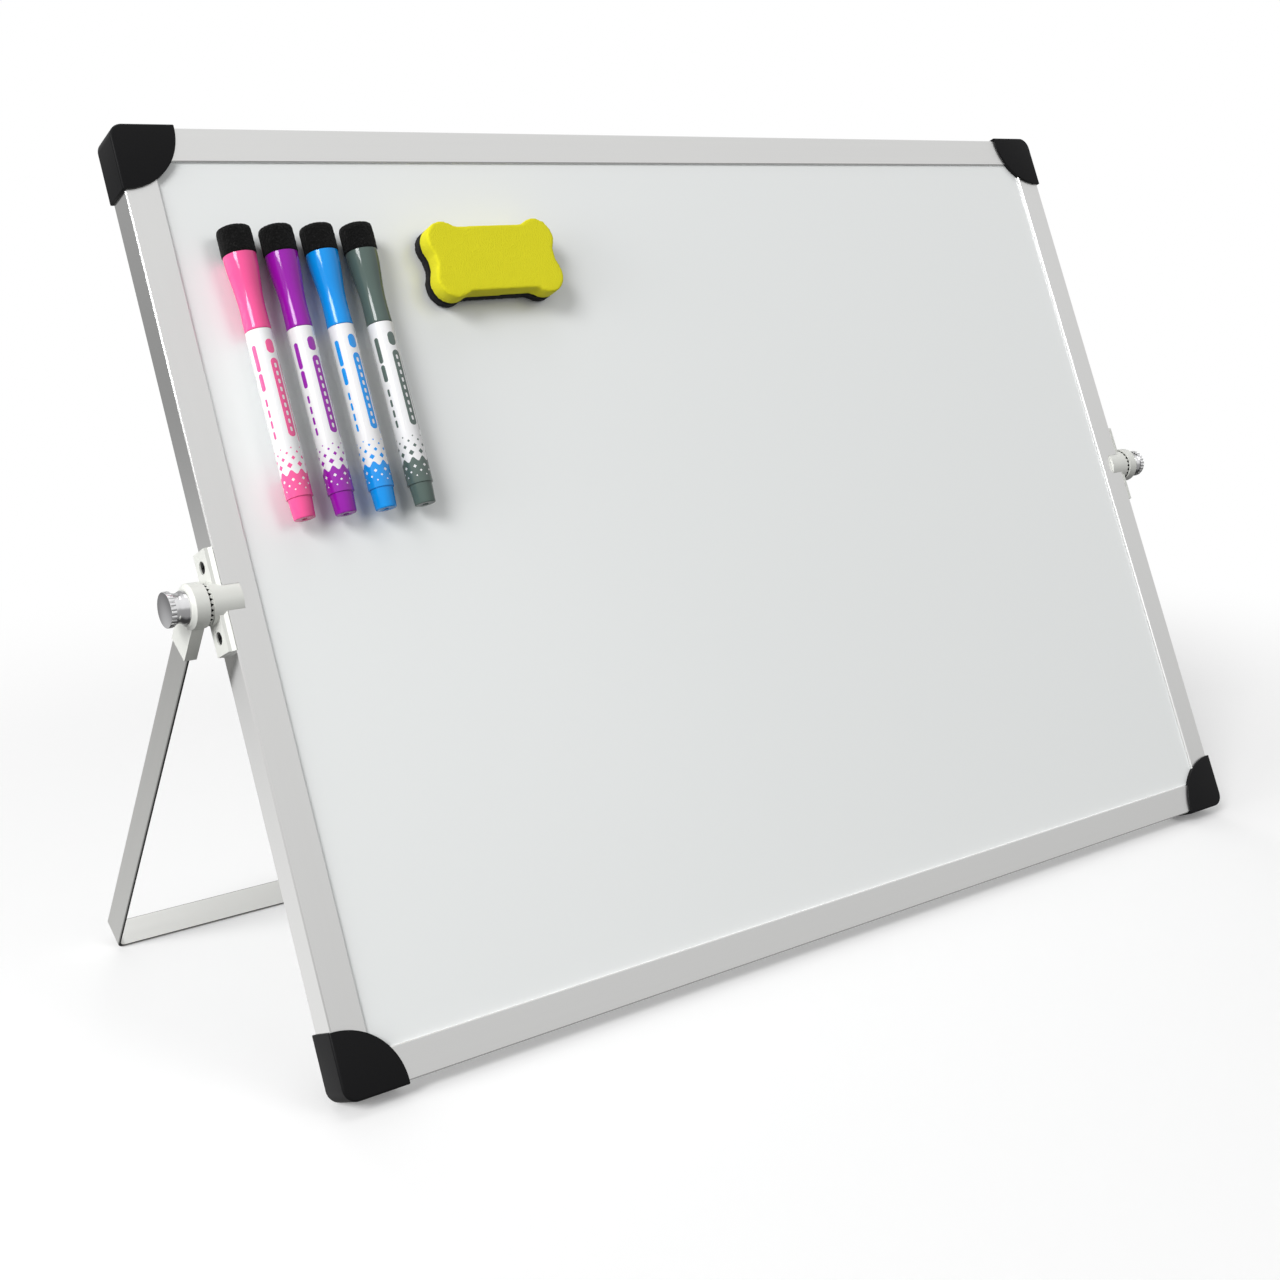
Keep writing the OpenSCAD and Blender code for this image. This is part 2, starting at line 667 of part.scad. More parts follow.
frame_rail_top();
frame_rail_bottom();
frame_rail_left();
frame_rail_right();
front_sheet();
rear_sheet();
board_core();
corner_cap_top_left();
corner_cap_top_right();
corner_cap_bottom_left();
corner_cap_bottom_right();
hinge_bracket_left();
hinge_bracket_right();
threaded_insert_left();
threaded_insert_right();
bracket_screws();
stand_bar();
clutch_arm_left();
clutch_arm_right();
thumb_screw_left();
thumb_screw_right();
captive_ring_left();
captive_ring_right();
eraser_felt();
eraser_foam();
eraser_magnet();
for (i = [0:len(marker_names) - 1]) {
    marker_barrel(i);
    marker_plug(i);
    marker_nib(i);
    marker_reservoir(i);
    marker_cap(i);
    marker_felt(i);
    marker_magnet(i);
}
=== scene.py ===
import json
import math

import bmesh
import bpy
from mathutils import Matrix, Vector, noise


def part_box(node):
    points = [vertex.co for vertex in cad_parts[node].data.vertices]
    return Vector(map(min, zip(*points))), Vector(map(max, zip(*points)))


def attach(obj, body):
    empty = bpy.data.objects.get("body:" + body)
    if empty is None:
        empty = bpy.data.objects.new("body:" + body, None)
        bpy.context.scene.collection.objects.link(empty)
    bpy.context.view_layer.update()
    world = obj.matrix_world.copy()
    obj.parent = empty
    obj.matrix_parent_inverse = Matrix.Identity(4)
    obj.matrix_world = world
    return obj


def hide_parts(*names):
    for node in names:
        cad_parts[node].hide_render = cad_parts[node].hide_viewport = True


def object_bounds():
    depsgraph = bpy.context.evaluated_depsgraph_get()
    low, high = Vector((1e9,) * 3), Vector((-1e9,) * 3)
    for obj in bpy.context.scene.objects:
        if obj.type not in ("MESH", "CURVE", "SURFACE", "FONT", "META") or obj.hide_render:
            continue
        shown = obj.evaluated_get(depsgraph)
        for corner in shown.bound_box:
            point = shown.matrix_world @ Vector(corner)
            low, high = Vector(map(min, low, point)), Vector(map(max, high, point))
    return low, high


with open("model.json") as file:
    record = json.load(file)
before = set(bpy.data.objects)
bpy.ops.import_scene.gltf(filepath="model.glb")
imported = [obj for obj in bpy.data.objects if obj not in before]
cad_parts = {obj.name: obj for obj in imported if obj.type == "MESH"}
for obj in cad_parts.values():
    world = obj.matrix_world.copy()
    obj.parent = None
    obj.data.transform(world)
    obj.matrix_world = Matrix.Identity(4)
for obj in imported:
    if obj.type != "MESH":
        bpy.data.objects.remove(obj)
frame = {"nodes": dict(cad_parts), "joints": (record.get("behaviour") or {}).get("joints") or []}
cad_box = [list(corner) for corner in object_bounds()]


# The camera stands to the left of the board, a little above its middle, and looks slightly down at it.
# It has the photograph's place, direction and angle of view, worked out from the frame's straight edges.
camera = bpy.data.objects.new("camera", bpy.data.cameras.new("camera"))
camera.location = (-0.4095, -0.4855, 0.2582)
camera.rotation_euler = (math.radians(75.23), 0, math.radians(-37.3))
camera.data.sensor_width = 36
camera.data.lens = 49.8
bpy.context.scene.collection.objects.link(camera)
bpy.context.scene.camera = camera


# The board's frame is four lengths of extruded aluminium, cut square and plugged together at the corners.
# They are satin anodised, with a fine brush along each length that the eye sees as faint streaks.
def node(tree, kind, inputs=None, **settings):
    """One shader node with its settings, and with the values of its sockets or the sockets that feed them."""
    made = tree.nodes.new("ShaderNode" + kind)
    for key, value in settings.items():
        setattr(made, key, value)
    for key, value in (inputs or {}).items():
        if isinstance(value, bpy.types.NodeSocket):
            tree.links.new(value, made.inputs[key])
        else:
            made.inputs[key].default_value = value
    return made


def effect(name, inputs, outputs):
    """An empty shader group with named sockets, and the nodes at its two ends."""
    tree = bpy.data.node_groups.new(name, "ShaderNodeTree")
    for socket, kind, value in inputs:
        made = tree.interface.new_socket(socket, in_out="INPUT", socket_type="NodeSocket" + kind)
        if value is not None:
            made.default_value = value
    for socket, kind in outputs:
        tree.interface.new_socket(socket, in_out="OUTPUT", socket_type="NodeSocket" + kind)
    return tree, tree.nodes.new("NodeGroupInput"), tree.nodes.new("NodeGroupOutput")


def finish_of(name, colour, roughness, **sockets):
    """A material's node tree and its shader, with the values that are the same all over the surface."""
    material = bpy.data.materials.new(name)
    material.use_nodes = True
    shader = material.node_tree.nodes["Principled BSDF"]
    shader.inputs["Base Color"].default_value = (*colour, 1)
    shader.inputs["Roughness"].default_value = roughness
    for key, value in sockets.items():
        shader.inputs[key.replace("_", " ")].default_value = value
    return material, material.node_tree, shader


def use_group(tree, group, inputs):
    """A shader group placed in a material."""
    made = tree.nodes.new("ShaderNodeGroup")
    made.node_tree = group
    for key, value in inputs.items():
        if isinstance(value, bpy.types.NodeSocket):
            tree.links.new(value, made.inputs[key])
        else:
            made.inputs[key].default_value = value
    return made


def spread(tree, value, low, high):
    """A value from 0 to 1 taken to the range from low to high."""
    return node(tree, "MapRange", {"Value": value, "To Min": low, "To Max": high}).outputs["Result"]


def reckon(tree, operation, *values, **settings):
    """The result of one step of arithmetic on numbers or sockets."""
    return node(tree, "Math", dict(enumerate(values)), operation=operation, **settings).outputs[0]


def blend(tree, share, first, second):
    """Two colours mixed. Each is three numbers, or the socket that gives it."""
    first, second = (end if isinstance(end, bpy.types.NodeSocket) else (*end, 1) for end in (first, second))
    return node(tree, "Mix", {0: share, 6: first, 7: second}, data_type="RGBA").outputs[2]


def toned(colour, factor):
    """A colour made lighter or darker, and no lighter than white."""
    return [min(1, c * factor) for c in colour]


def grey_ramp(tree, value, steps, blue=1.0):
    """A colour ramp through greys, each given as its position and its brightness."""
    ramp = node(tree, "ValToRGB", {"Fac": value})
    stops = ramp.color_ramp.elements
    for count, (position, grey) in enumerate(steps):
        stop = stops[0] if count == 0 else stops[-1] if count == len(steps) - 1 else stops.new(position)
        stop.position = position
        stop.color = (grey, grey, grey * blue, 1)
    return ramp.outputs["Color"]


def relief(tree, shader, height, depth):
    """Fine relief of a given depth, in metres, on a material's surface."""
    bump = node(tree, "Bump", {"Strength": 1.0, "Distance": depth, "Height": height})
    tree.links.new(bump.outputs["Normal"], shader.inputs["Normal"])


def object_place(tree, turn=0.0):
    """The point on the piece, in metres, turned back about X so that one axis runs along the piece."""
    place = node(tree, "TexCoord").outputs["Object"]
    return node(tree, "Mapping", {"Vector": place, "Rotation": (turn, 0, 0)}).outputs["Vector"]


# Streaks of a brushed finish: long along X, fine across it
brushed, ends, out = effect(
    "brushed_finish", [("Vector", "Vector", None), ("Fineness", "Float", 2600.0)], [("Streaks", "Float")])
along = node(brushed, "VectorMath", {0: ends.outputs["Vector"], 1: (0.008, 1.0, 1.0)}, operation="MULTIPLY")
fine = node(brushed, "TexNoise", {"Vector": along.outputs[0], "Scale": ends.outputs["Fineness"],
                                  "Detail": 3.0, "Roughness": 0.65})
wide = node(brushed, "TexNoise", {"Vector": along.outputs[0], "Scale": 520.0, "Detail": 2.0})
both = node(brushed, "Mix", {0: 0.4, 2: fine.outputs["Fac"], 3: wide.outputs["Fac"]})
brushed.links.new(both.outputs[0], out.inputs["Streaks"])

# Faint marks of handling, as patches where the gloss changes
handled, ends, out = effect(
    "handling_marks", [("Vector", "Vector", None), ("Patch Scale", "Float", 30.0)], [("Marks", "Float")])
patches = node(handled, "TexNoise", {"Vector": ends.outputs["Vector"], "Scale": ends.outputs["Patch Scale"],
                                     "Detail": 4.0, "Roughness": 0.6})
soft = node(handled, "MapRange", {"Value": patches.outputs["Fac"], "From Min": 0.35, "From Max": 0.75})
handled.links.new(soft.outputs["Result"], out.inputs["Marks"])

pull = Vector(next(j["axis"] for j in frame["joints"] if j["name"] == "eraser_lift"))
lean = math.atan2(pull.z, -pull.y)
ALLOY = (0.80, 0.80, 0.79)
# A flank looks less to the front or back than the first limit. The second is on the face's direction across the
# board times its place across it: the side rails' inner lips look inwards, fall below it and stay satin.
FRONT_LIMIT, INWARD_LIMIT = 0.85, -0.001
FLANK_SHINE = (0.10, 0.18)


def brushed_alloy(name, upright, colour, rough):
    """Satin aluminium brushed along the board's width or up the board, with smoother flanks."""
    material, tree, shader = finish_of(name, colour, rough, Metallic=1.0)
    place = object_place(tree, lean)
    across = node(tree, "SeparateXYZ", {0: place}).outputs["X"]
    if upright:
        place = node(tree, "Mapping", {"Vector": place, "Rotation": (0, math.radians(90), 0)}).outputs["Vector"]
    streaks = use_group(tree, brushed, {"Vector": place}).outputs["Streaks"]
    marks = use_group(tree, handled, {"Vector": place, "Patch Scale": 18.0}).outputs["Marks"]
    mixed = node(tree, "Mix", {0: 0.25, 2: streaks, 3: marks}).outputs[0]
    satin = spread(tree, mixed, rough - 0.07, rough + 0.09)
    normal = node(tree, "TexCoord").outputs["Normal"]
    frontward = node(tree, "VectorMath", {0: normal, 1: pull}, operation="DOT_PRODUCT").outputs["Value"]
    frontward = reckon(tree, "ABSOLUTE", frontward)
    flank = reckon(tree, "LESS_THAN", frontward, FRONT_LIMIT)
    outward = reckon(tree, "MULTIPLY", node(tree, "SeparateXYZ", {0: normal}).outputs["X"], across)
    outward = reckon(tree, "GREATER_THAN", outward, INWARD_LIMIT)
    flank = reckon(tree, "MULTIPLY", flank, outward)
    satin = node(tree, "Mix", {0: flank, 2: satin, 3: spread(tree, mixed, *FLANK_SHINE)}).outputs[0]
    tree.links.new(satin, shader.inputs["Roughness"])
    tint = blend(tree, streaks, toned(colour, 0.965), colour)
    tint = blend(tree, flank, tint, toned(colour, 1.03))
    tree.links.new(tint, shader.inputs["Base Color"])
    relief(tree, shader, streaks, 0.000012)
    return material


def dress(material, *names):
    """CAD nodes that keep their shape and take a material."""
    for name in names:
        frame["nodes"][name].material_slots[0].material = material


dress(brushed_alloy("alloy_brushed_across", False, ALLOY, 0.36), "frame_rail_top", "frame_rail_bottom")
dress(brushed_alloy("alloy_brushed_upright", True, ALLOY, 0.36), "frame_rail_left", "frame_rail_right")


# The writing faces are enamelled steel sheets on both sides of a light honeycomb core, held in the rails.
# The enamel is glossy white with a very faint ripple, and wiping has left it slightly uneven in gloss.
ENAMEL = (0.87, 0.89, 0.885)
enamel, tree, shader = finish_of("writing_enamel", ENAMEL, 0.2, IOR=1.5, Coat_Weight=0.25, Coat_Roughness=0.06)
place = object_place(tree, lean)
ripple = node(tree, "TexNoise", {"Vector": place, "Scale": 160.0, "Detail": 1.0})
wiped = use_group(tree, handled, {"Vector": place, "Patch Scale": 9.0}).outputs["Marks"]
tree.links.new(spread(tree, wiped, 0.17, 0.24), shader.inputs["Roughness"])
relief(tree, shader, ripple.outputs["Fac"], 0.000008)
dress(enamel, "front_sheet", "rear_sheet")

core_board, tree, shader = finish_of("honeycomb_board", (0.55, 0.42, 0.28), 0.9)
cells = node(tree, "TexVoronoi", {"Vector": object_place(tree, lean), "Scale": 160.0},
             feature="DISTANCE_TO_EDGE")
relief(tree, shader, cells.outputs["Distance"], 0.0004)
dress(core_board, "board_core")


# The corner caps are black mouldings with a tongue for each rail. Their faces are finely grained and matte.
# Each is the CAD cap with its remaining sharp edges eased, as a moulding's are.
grained, ends, out = effect(
    "moulded_grain", [("Vector", "Vector", None), ("Scale", "Float", 2500.0)],
    [("Grain", "Float"), ("Tone", "Float")])
pits = node(grained, "TexVoronoi", {"Vector": ends.outputs["Vector"], "Scale": ends.outputs["Scale"]},
            feature="SMOOTH_F1")
flow = node(grained, "TexNoise", {"Vector": ends.outputs["Vector"], "Scale": 60.0, "Detail": 3.0})
grained.links.new(pits.outputs["Distance"], out.inputs["Grain"])
grained.links.new(flow.outputs["Fac"], out.inputs["Tone"])


def moulded(name, colour, rough, grain_depth, grain_scale=2500.0, **sockets):
    """A moulded plastic with a fine grain and slightly uneven tone."""
    material, tree, shader = finish_of(name, colour, rough, **sockets)
    grain = use_group(tree, grained, {"Vector": object_place(tree), "Scale": grain_scale})
    tint = blend(tree, grain.outputs["Tone"], toned(colour, 0.93), toned(colour, 1.05))
    tree.links.new(tint, shader.inputs["Base Color"])
    tree.links.new(spread(tree, grain.outputs["Tone"], rough - 0.04, rough + 0.04), shader.inputs["Roughness"])
    relief(tree, shader, grain.outputs["Grain"], grain_depth)
    return material


def link_piece(name, mesh, body, material, slot, *replaced):
    """A finished mesh made a piece of the object, riding on a body in place of CAD nodes."""
    piece = bpy.data.objects.new(name, mesh)
    bpy.context.scene.collection.objects.link(piece)
    piece.data.materials.append(material)
    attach(piece, body)
    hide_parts(*replaced)
    return piece


def shaded(bm, name, angle=35):
    """A bmesh turned into a mesh, smooth except at edges sharper than an angle in degrees."""
    for face in bm.faces:
        face.smooth = True
    for edge in bm.edges:
        edge.smooth = len(edge.link_faces) == 2 and edge.calc_face_angle() < math.radians(angle)
    mesh = bpy.data.meshes.new(name)
    bm.to_mesh(mesh)
    bm.free()
    return mesh


def eased_copy(source, width, sharp=40, rounds=2):
    """A CAD node's own shape with its sharp edges rounded off."""
    bm = bmesh.new()
    bm.from_mesh(frame["nodes"][source].data)
    bmesh.ops.remove_doubles(bm, verts=bm.verts, dist=0.000002)
    bmesh.ops.dissolve_limit(bm, angle_limit=math.radians(0.5), verts=bm.verts, edges=bm.edges)
    edges = [e for e in bm.edges if len(e.link_faces) == 2 and e.calc_face_angle() > math.radians(sharp)]
    bmesh.ops.bevel(bm, geom=edges, offset=width, offset_type="OFFSET", segments=rounds, profile=0.5,
                    affect="EDGES", material=-1, clamp_overlap=True)
    return bm


CAP_EDGE = 0.0003
black_moulding = moulded("black_moulding", (0.006, 0.006, 0.0065), 0.45, 0.00002, Specular_IOR_Level=0.12)
for corner in ("top_left", "top_right", "bottom_left", "bottom_right"):
    cap = "corner_cap_" + corner
    link_piece(cap + "_moulding", shaded(eased_copy(cap, CAP_EDGE), cap), "board", black_moulding, "black_abs",
               cap)


# The hinge brackets are white mouldings screwed to the side rails. Each has a hub that crosses the rail, and
# a ring of radial teeth. The clutch arms on the stand's ends are moulded from the same plastic.
tilt = next(j for j in frame["joints"] if j["name"] == "stand_tilt")
axis_place = Vector(tilt["pos_m"])
# Outer radius and height of the clutch teeth, and the near-black painted shade put into the narrow gaps between
# them, where shadow falls
TOOTH_R, TOOTH_H = 0.0062, 0.0012
GAP_PAINTED_SHADE = (0.02, 0.02, 0.018)
# How far the painted shade stays inside the teeth's rim, and how far it goes past their tips
RIM_MARGIN, TIP_MARGIN = 0.00005, 0.0001
WHITE_PLASTIC = (0.74, 0.75, 0.71)
white_moulding = moulded("white_moulding", WHITE_PLASTIC, 0.3, 0.000008, 1800.0)
tree = white_moulding.node_tree
shader = tree.nodes["Principled BSDF"]
place = node(tree, "VectorMath", {0: node(tree, "TexCoord").outputs["Object"], 1: (0, *axis_place.yz)},
             operation="SUBTRACT").outputs[0]
radial = node(tree, "VectorMath", {0: place, 1: (0, 1, 1)}, operation="MULTIPLY").outputs[0]
radius = node(tree, "VectorMath", {0: radial}, operation="LENGTH").outputs["Value"]
within = reckon(tree, "LESS_THAN", radius, TOOTH_R - RIM_MARGIN)
outward = node(tree, "SeparateXYZ", {0: place}).outputs["X"]
outward = reckon(tree, "ABSOLUTE", outward)
tooth_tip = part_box("hinge_bracket_right")[1].x
in_teeth = reckon(tree, "COMPARE", outward, tooth_tip, TOOTH_H + TIP_MARGIN)
painted_gap_shade = reckon(tree, "MULTIPLY", within, in_teeth)
# Painted shade: the white is mixed to near-black inside the teeth's rim and along the teeth's height, where the
# gaps lie in shadow
plain = shader.inputs["Base Color"].links[0].from_socket
tint = blend(tree, painted_gap_shade, plain, GAP_PAINTED_SHADE)
tree.links.new(tint, shader.inputs["Base Color"])
dress(white_moulding, "hinge_bracket_left", "hinge_bracket_right", "clutch_arm_left", "clutch_arm_right")

# Brass inserts take the thumb screws in the hubs, nylon rings keep those screws captive, and black
# screws with a cross recess hold the brackets to the rails.
brass, tree, shader = finish_of("turned_brass", (0.78, 0.60, 0.30), 0.28, Metallic=1.0)
relief(tree, shader, use_group(tree, brushed, {"Vector": object_place(tree)}).outputs["Streaks"], 0.00001)
dress(brass, "threaded_insert_left", "threaded_insert_right")
dress(moulded("natural_nylon", (0.82, 0.80, 0.72), 0.45, 0.00001), "captive_ring_left", "captive_ring_right")
dress(moulded("black_oxide", (0.02, 0.02, 0.02), 0.4, 0.00001, Metallic=0.7), "bracket_screws")


# The stand is one flat steel bar, bent into a U and brushed along its length before it was bent.
# The legs' streaks run down the legs, and the foot's run across behind the board.
def lying_box(names, turn):
    """Lowest and highest corner of CAD nodes, along axes turned about X."""
    back = Matrix.Rotation(-turn, 3, "X")
    points = [back @ v.co for n in names for v in frame["nodes"][n].data.vertices]
    low = Vector(min(p[i] for p in points) for i in range(3))
    high = Vector(max(p[i] for p in points) for i in range(3))
    return low, high


foot_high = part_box("stand_bar")[1]
foot_face = max((p for p in frame["nodes"]["stand_bar"].data.polygons if abs(p.normal.x) < 0.01),
                key=lambda p: p.area)
stand_lean = math.atan2(abs(foot_face.normal.y), abs(foot_face.normal.z))
BAR = (0.66, 0.66, 0.64)
BAR_T, BEND_R = 0.001, 0.003
# Painted shade on the legs' cut edges: their inner part is painted near-black where the narrow faces lie in
# shade. How deep the edge band is, how far in from the legs' outer faces it starts, and how far above the foot's
# outer face
EDGE_PAINTED_SHADE = (0.05, 0.05, 0.05)
EDGE_DEPTH, EDGE_IN, EDGE_UP = 0.00012, 0.0004, 0.0006
bar_metal, tree, shader = finish_of("brushed_bar", BAR, 0.34, Metallic=1.0)
place = object_place(tree, -stand_lean)
down_leg = node(tree, "Mapping", {"Vector": place, "Rotation": (0, math.radians(90), 0)}).outputs["Vector"]
leg_streaks = use_group(tree, brushed, {"Vector": down_leg}).outputs["Streaks"]
foot_streaks = use_group(tree, brushed, {"Vector": place}).outputs["Streaks"]
across = node(tree, "SeparateXYZ", {0: place}).outputs["X"]
outward = reckon(tree, "ABSOLUTE", across)
on_leg = node(tree, "MapRange", {"Value": outward, "From Min": foot_high.x - BEND_R,
                                 "From Max": foot_high.x - BAR_T}).outputs["Result"]
streaks = node(tree, "Mix", {0: on_leg, 2: foot_streaks, 3: leg_streaks}).outputs[0]
tree.links.new(spread(tree, streaks, 0.26, 0.42), shader.inputs["Roughness"])
relief(tree, shader, streaks, 0.000015)
bar_low, bar_high = lying_box(["stand_bar"], stand_lean)
# Painted shade: a near-black band along the legs' cut edges, on their inner part and above the foot
from_middle = node(tree, "SeparateXYZ", {0: place}).outputs["Y"]
from_middle = reckon(tree, "SUBTRACT", from_middle, (bar_low.y + bar_high.y) / 2)
from_middle = reckon(tree, "ABSOLUTE", from_middle)
cut = reckon(tree, "GREATER_THAN", from_middle, (bar_high.y - bar_low.y) / 2 - EDGE_DEPTH)
inner = reckon(tree, "LESS_THAN", outward, foot_high.x - EDGE_IN)
cut = reckon(tree, "MULTIPLY", cut, inner)
above_foot = node(tree, "SeparateXYZ", {0: place}).outputs["Z"]
above_foot = reckon(tree, "GREATER_THAN", above_foot, bar_low.z + EDGE_UP)
cut = reckon(tree, "MULTIPLY", cut, above_foot)
tree.links.new(blend(tree, cut, BAR, EDGE_PAINTED_SHADE), shader.inputs["Base Color"])
dress(bar_metal, "stand_bar")


# The thumb screws are turned from steel and chromed: a flat-ended head with a knurled band, a hollowed waist
# and a foot that bears on the clutch arm. They are spun here from their profile, and the knurls pressed in.
def turned(profile, steps, closed=True, rounds=(), round_r=0.0, segments=3):
    """A solid of revolution about Z from (radius, height) points; the corners numbered in rounds are rounded."""
    bm = bmesh.new()
    corners = [bm.verts.new((r, 0, z)) for r, z in profile]
    for a, b in zip(corners, corners[1:] + (corners[:1] if closed else [])):
        bm.edges.new((a, b))
    if rounds:
        bmesh.ops.bevel(bm, geom=[corners[i] for i in rounds], offset=round_r, offset_type="OFFSET",
                        segments=segments, profile=0.5, affect="VERTICES", material=-1)
    bmesh.ops.spin(bm, geom=bm.verts[:] + bm.edges[:], cent=(0, 0, 0), axis=(0, 0, 1),
                   angle=math.tau, steps=steps, use_merge=True)
    bmesh.ops.remove_doubles(bm, verts=bm.verts, dist=0.000001)
    bmesh.ops.recalc_face_normals(bm, faces=bm.faces)
    return bm


KNURLS = 24
# Share of a knurl's pitch on each side of a groove's middle, and the groove's depth
GROOVE_HALF, GROOVE_DEPTH = 0.13, 0.0003
SHANK_R, FOOT_R, WAIST_R, NECK_R = 0.0020, 0.0050, 0.0047, 0.0044
KNOB_L, FOOT_L, BAND_L, POINT = 0.0060, 0.0006, 0.0018, 0.0003
CHROME = (0.83, 0.84, 0.85)
# Painted reflection on the flat ends: one grey put in their colour, and how nearly along the screw's axis a face
# must look to take it
END_PAINTED_REFLECTION, END_LIMIT = (0.52, 0.52, 0.53), 0.97
# Painted reflection: the turned sides' colour carries dark and bright bands that stand for the room's
# reflection, as the value at each height of the surface's normal
CHROME_PAINTED_REFLECTION = ((0.0, 0.30), (0.14, 0.10), (0.24, 0.14), (0.34, 0.72), (0.55, 0.92), (0.86, 0.90), (0.95, 0.35),
                (1.0, 0.6))
chrome, tree, shader = finish_of("polished_chrome", CHROME, 0.07, Metallic=1.0)
marks = use_group(tree, handled, {"Vector": object_place(tree), "Patch Scale": 220.0}).outputs["Marks"]
tree.links.new(spread(tree, marks, 0.06, 0.13), shader.inputs["Roughness"])
# The bands and the ends' grey are painted into the base colour, as painted reflection
facing = node(tree, "SeparateXYZ", {0: node(tree, "TexCoord").outputs["Normal"]})
upward = node(tree, "MapRange", {"Value": facing.outputs["Z"], "From Min": -1.0, "From Max": 1.0}).outputs[0]
painted_reflection = grey_ramp(tree, upward, CHROME_PAINTED_REFLECTION, blue=1.01)
on_end = reckon(tree, "GREATER_THAN", reckon(tree, "ABSOLUTE", facing.outputs["X"]), END_LIMIT)
tree.links.new(blend(tree, on_end, painted_reflection, END_PAINTED_REFLECTION), shader.inputs["Base Color"])
for side, sign in (("left", -1), ("right", 1)):
    screw = "thumb_screw_" + side
    low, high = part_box(screw)
    length, head_r = high.x - low.x, (high.z - low.z) / 2
    shank_l = length - KNOB_L
    band_low = length - BAND_L
    waist_low = shank_l + FOOT_L
    waist = []
    for step in range(17):
        t = step / 16
        dip = (1 - math.cos(math.tau * t)) / 2
        r = FOOT_R + (WAIST_R - FOOT_R) * t
        waist.append((r + (NECK_R - r) * dip, waist_low + (band_low - waist_low) * t))
    profile = [(0, 0), (SHANK_R - POINT, 0), (SHANK_R, POINT), (SHANK_R, shank_l), (FOOT_R, shank_l)] + waist
    profile += [(head_r, band_low), (head_r, length), (0, length)]
    count = len(profile)
    bm = turned(profile, KNURLS * 8, closed=False, rounds=(count - 3, count - 2), round_r=0.0002)
    for v in bm.verts:
        r = math.hypot(v.co.x, v.co.y)
        if r > head_r - GROOVE_DEPTH and band_low - 0.0001 < v.co.z < length - 0.00015:
            from_groove = abs((math.atan2(v.co.y, v.co.x) * KNURLS / math.tau) % 1 - 0.5)
            if from_groove < GROOVE_HALF:
                v.co.xy *= (r - GROOVE_DEPTH) / r
    bm.transform(Matrix.Translation(axis_place)
                 @ Matrix.Translation((low.x if sign > 0 else high.x, 0, 0))
                 @ Matrix.Rotation(sign * math.radians(90), 4, "Y"))
    link_piece(screw + "_chromed", shaded(bm, screw, 20), "screw_" + side, chrome, "knob_chrome", screw)


# The four markers each have a white barrel, an end plug and a cap in the ink's colour, and a felt pad on the
# cap. Barrel, plug and cap are glossy injection mouldings; the cap's magnet holds the marker to the sheet.
INKS = {"pink": (0.86, 0.09, 0.30), "purple": (0.30, 0.006, 0.38), "blue": (0.002, 0.29, 0.80),
        "green": (0.09, 0.13, 0.115)}
WHITE = (0.80, 0.80, 0.81)


def glossy(name, colour):
    """A glossy coloured moulding."""
    return moulded(name, colour, 0.10, 0.000002, 900.0, Specular_IOR_Level=0.4)


# A round-ended bar printed on the barrel: 1 inside it and 0 outside
bar_mask, ends, out = effect(
    "printed_bar", [("Vector", "Vector", None), ("Centre", "Vector", (0, 0, 0)), ("Half Length", "Float", 1.0),
                    ("Radius", "Float", 1.0)], [("Mask", "Float")])
away = node(bar_mask, "VectorMath", {0: ends.outputs["Vector"], 1: ends.outputs["Centre"]},
            operation="SUBTRACT").outputs[0]
parts = node(bar_mask, "SeparateXYZ", {0: away})
up = reckon(bar_mask, "ABSOLUTE", parts.outputs["Y"])
past = reckon(bar_mask, "SUBTRACT", up, ends.outputs["Half Length"])
past = reckon(bar_mask, "MAXIMUM", past, 0.0)
corner = node(bar_mask, "CombineXYZ", {0: parts.outputs["X"], 1: past}).outputs[0]
reach = node(bar_mask, "VectorMath", {0: corner}, operation="LENGTH").outputs["Value"]
inside = reckon(bar_mask, "LESS_THAN", reach, ends.outputs["Radius"])
bar_mask.links.new(inside, out.inputs["Mask"])

# Rows of small diamonds round the barrel
diamonds, ends, out = effect(
    "printed_diamonds", [("Vector", "Vector", None), ("Pitch", "Float", 2.0), ("Height", "Float", 0.0),
                         ("Shift", "Float", 0.0), ("Size", "Float", 0.6)], [("Mask", "Float")])
parts = node(diamonds, "SeparateXYZ", {0: ends.outputs["Vector"]})
turn_in = reckon(diamonds, "DIVIDE", parts.outputs["X"], ends.outputs["Pitch"])
turn_in = reckon(diamonds, "ADD", turn_in, ends.outputs["Shift"])
turn_in = reckon(diamonds, "FRACT", turn_in)
turn_in = reckon(diamonds, "SUBTRACT", turn_in, 0.5)
turn_in = reckon(diamonds, "ABSOLUTE", turn_in)
turn_in = reckon(diamonds, "MULTIPLY", turn_in, ends.outputs["Pitch"])
rise = reckon(diamonds, "SUBTRACT", parts.outputs["Y"], ends.outputs["Height"])
rise = reckon(diamonds, "ABSOLUTE", rise)
total = reckon(diamonds, "ADD", turn_in, rise)
inside = reckon(diamonds, "LESS_THAN", total, ends.outputs["Size"])
diamonds.links.new(inside, out.inputs["Mask"])


# Diamonds round the barrel, and the wavy top of the printed band: its height and how far it waves
ROUND, BAND_TOP, BAND_WAVE = 8, 7.4, 0.7
# Rows of diamonds above the band and left white in it: height, shift round the barrel and size
ROWS_ABOVE = ((9.6, 0.25, 0.9), (11.7, 0.75, 0.65), (13.4, 0.25, 0.45), (14.8, 0.75, 0.3))
ROWS_IN_BAND = ((5.2, 0.25, 0.55), (3.6, 0.75, 0.4), (2.2, 0.25, 0.3))
